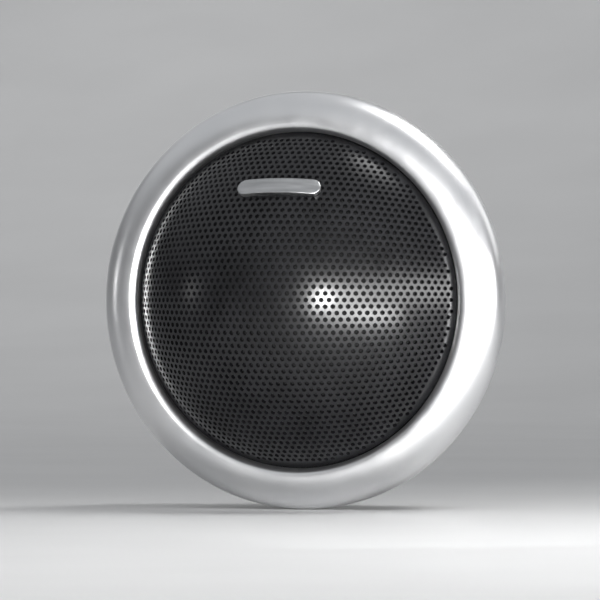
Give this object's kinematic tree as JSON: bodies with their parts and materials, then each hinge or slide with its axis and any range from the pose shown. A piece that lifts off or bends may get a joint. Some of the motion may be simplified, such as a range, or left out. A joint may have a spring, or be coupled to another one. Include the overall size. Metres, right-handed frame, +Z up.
{
  "type": "car door tweeter",
  "caption": "Round snap-in car door tweeter with a satin silver ring and a domed black mesh grille over a soft-dome driver, with a rear plug socket.",
  "frame": {"origin": "centre of the door-panel hole, in the plane of the panel's front face, which is the gasket's rear face", "axes": "+Y is the sound axis pointing into the door, -Y faces the listener, +Z is up, +X is to the right as the listener sees it"},
  "size_m": [0.058, 0.0454, 0.058],
  "materials": {
    "satin_silver": "satin silver, fine blasted and anodised",
    "badge_metal": "satin grey metal",
    "black_mesh": "fine perforated steel, satin black coating",
    "black_cloth": "thin acoustic cloth",
    "black_foam": "closed-cell foam",
    "black_moulding": "fine-grained black moulding",
    "coated_silk": "doped silk weave",
    "former_aluminium": "thin rolled foil",
    "copper_winding": "enamelled copper wire",
    "grey_felt": "pressed felt",
    "plated_steel": "zinc-plated steel",
    "nickel_magnet": "nickel-plated sintered magnet",
    "damping_wadding": "open-cell foam",
    "black_rubber": "moulded rubber",
    "board_green": "solder-masked glass-fibre board",
    "capacitor_sleeve": "shrink sleeve over an aluminium can",
    "tinned_wire": "tinned wire",
    "terminal_brass": "stamped brass",
    "red_insulation": "smooth cable insulation",
    "black_insulation": "smooth cable insulation"
  },
  "bodies": {
    "housing": {"bezel_ring": "satin_silver", "badge_bar": "badge_metal", "grille": "black_mesh", "grille_cloth": "black_cloth", "panel_gasket": "black_foam", "flange_ring": "black_moulding", "front_housing": "black_moulding", "faceplate": "black_moulding", "surround": "coated_silk", "diaphragm_ring": "black_moulding", "felt_pad": "grey_felt", "pole_plate": "plated_steel", "magnet": "nickel_magnet", "yoke_cup": "plated_steel", "damping_foam": "damping_wadding", "rear_housing": "black_moulding", "chamber_seal": "black_rubber", "body_screw_1": "plated_steel", "body_screw_2": "plated_steel", "body_screw_3": "plated_steel", "terminal_board": "board_green", "capacitor": "capacitor_sleeve", "capacitor_lead_1": "tinned_wire", "capacitor_lead_2": "tinned_wire", "connector_shell": "black_moulding", "terminal_pin_1": "terminal_brass", "terminal_pin_2": "terminal_brass", "solder_tab_1": "terminal_brass", "solder_tab_2": "terminal_brass", "lead_wire_1": "copper_winding", "lead_wire_2": "copper_winding", "hookup_wire_1": "red_insulation", "hookup_wire_2": "black_insulation"},
    "diaphragm": {"dome": "coated_silk", "voice_coil_former": "former_aluminium", "voice_coil": "copper_winding"}
  },
  "joints": [
    {"name": "diaphragm_travel", "type": "slide", "parent": "housing", "child": "diaphragm", "axis": [0, 1, 0], "range_m": [-0.0004, 0.0004], "stiffness_N_per_m": 20, "deforming": ["surround", "lead_wire_1", "lead_wire_2"]}
  ]
}
